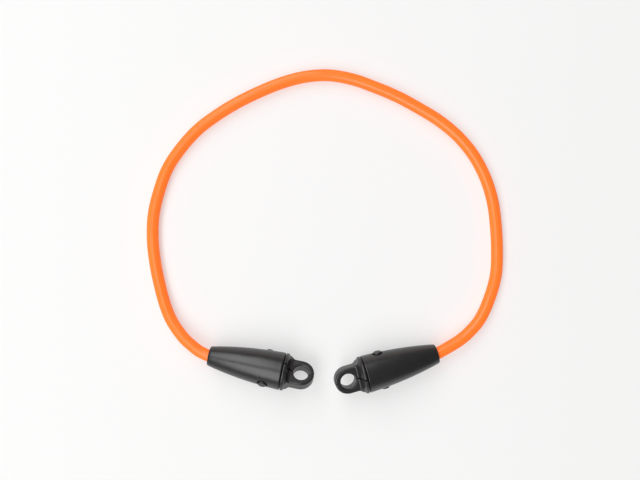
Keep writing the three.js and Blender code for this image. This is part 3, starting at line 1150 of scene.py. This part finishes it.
class BungeeThreads(bpy.types.Operator):
    """Make the square rubber threads inside the jacket"""

    bl_idname = "bungee.threads"
    bl_label = "Rubber threads"
    corner = 0.12 * MM
    free_steps = 240
    held_steps = 24

    def execute(self, context):
        cord = context.scene.bungee_cord
        line = CordLine(context.scene.bungee_terminal, cord)
        rubber = natural_rubber(context.scene.bungee_colours)
        near = cord.grip_length - cord.throat_overlap
        far = line.total - near
        middle = (cord.thread_rows - 1) / 2
        pitch = cord.thread_side + cord.thread_gap
        for i in range(cord.thread_rows ** 2):
            a, b = divmod(i, cord.thread_rows)
            place = ((a - middle) * pitch, (b - middle) * pitch)
            name = f"rubber_thread_{i + 1}"
            free = self.bar(cord, line, rubber, f"{name}_free", place, near, far, self.free_steps)
            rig.replaces(free, name)
            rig.blend(free, "left_end", "right_end", STRETCH_START, STRETCH_END)
            for side, start, end in (("left", 0.0, near), ("right", far, line.total)):
                held_name = f"{name}_{side}"
                held = self.bar(cord, line, rubber, held_name, place, start, end, self.held_steps)
                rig.ride(held, f"{side}_end")
        return {"FINISHED"}

    def bar(self, cord, line, rubber, name, place, start, end, steps):
        """One thread: a square with small corner flats, along the cord."""
        half = cord.thread_side / 2
        cut = half - self.corner
        ring = [
            (half, -cut), (half, cut), (cut, half), (-cut, half),
            (-half, cut), (-half, -cut), (-cut, -half), (cut, -half),
        ]
        places = [start + (end - start) * i / steps for i in range(steps + 1)]

        def section(row, turn):
            a, b = ring[turn % len(ring)]
            return place[0] + a, place[1] + b

        made = object_from(swept(line, places, len(ring), section), name)
        made.data.materials.append(rubber)
        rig.slot(made, "rubber_pale")
        return made


class BungeeSleeves(bpy.types.Operator):
    """Make the two bullet-shaped sleeves"""

    bl_idname = "bungee.sleeves"
    bl_label = "Sleeves"

    def execute(self, context):
        t = context.scene.bungee_terminal
        shade = context.scene.bungee_colours.sleeve
        plastic = moulded_plastic("satin_plastic", shade, roughness=0.31, grain=0.1)
        mesh = sleeve_solid(t)
        for side in SIDES:
            node = f"{side}_sleeve"
            fit(mesh, terminal_matrix(side, t), node, plastic, f"{side}_end", "sleeve_black")
        bpy.data.meshes.remove(mesh)
        return {"FINISHED"}


class BungeeJaws(bpy.types.Operator):
    """Make the half jaws with their half collars and half eyes"""

    bl_idname = "bungee.jaws"
    bl_label = "Jaws"

    def execute(self, context):
        t = context.scene.bungee_terminal
        shade = context.scene.bungee_colours.jaw
        plastic = moulded_plastic("matt_plastic", shade, roughness=0.34, grain=0.15)
        upper = jaw_solid(t)
        lower = flipped(upper)
        for side in SIDES:
            for place, mesh in (("upper", upper), ("lower", lower)):
                node = f"{side}_jaw_{place}"
                fit(mesh, terminal_matrix(side, t), node, plastic, f"{side}_end", "jaw_black")
        bpy.data.batch_remove((upper, lower))
        return {"FINISHED"}


class BungeeLatches(bpy.types.Operator):
    """Make the spring fingers with their round snap lugs"""

    bl_idname = "bungee.latches"
    bl_label = "Latches"

    def execute(self, context):
        t = context.scene.bungee_terminal
        shade = context.scene.bungee_colours.jaw
        plastic = moulded_plastic("lug_plastic", shade, roughness=0.42, grain=0.12)
        upper = latch_solid(t)
        lower = flipped(upper)
        for side in SIDES:
            for place, short, mesh in (("upper", "up", upper), ("lower", "low", lower)):
                node = f"{side}_latch_{place}"
                body = f"{side}_latch_{short}"
                fit(mesh, terminal_matrix(side, t), node, plastic, body, "jaw_black")
        bpy.data.batch_remove((upper, lower))
        return {"FINISHED"}


class BungeePanel(bpy.types.Panel):
    """Sidebar panel that lists the pieces"""

    bl_idname = "VIEW3D_PT_bungee"
    bl_label = "Bungee Cord"
    bl_space_type = "VIEW_3D"
    bl_region_type = "UI"
    bl_category = "Bungee"

    def draw(self, context):
        for operator in OPERATORS:
            self.layout.operator(operator.bl_idname)


GROUPS = {
    "bungee_terminal": BungeeTerminal,
    "bungee_cord": BungeeCord,
    "bungee_colours": BungeeColours,
}
OPERATORS = (BungeeStage, BungeeThreads, BungeeJacket, BungeeSleeves, BungeeJaws, BungeeLatches)


def register():
    for item in (*GROUPS.values(), *OPERATORS, BungeePanel):
        bpy.utils.register_class(item)
    for name, group in GROUPS.items():
        setattr(bpy.types.Scene, name, PointerProperty(type=group))


def unregister():
    for name in GROUPS:
        delattr(bpy.types.Scene, name)
    for item in (BungeePanel, *reversed(OPERATORS), *GROUPS.values()):
        bpy.utils.unregister_class(item)


def main():
    register()
    bpy.ops.bungee.stage()
    bpy.ops.bungee.threads()
    bpy.ops.bungee.jacket()
    bpy.ops.bungee.sleeves()
    bpy.ops.bungee.jaws()
    bpy.ops.bungee.latches()
    boxes = {"cad": CAD_BOX, "visual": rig.bounds()}
    with open("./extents.json", "w") as file:
        json.dump({name: [list(corner) for corner in box] for name, box in boxes.items()}, file)


if __name__ == "__main__":
    main()
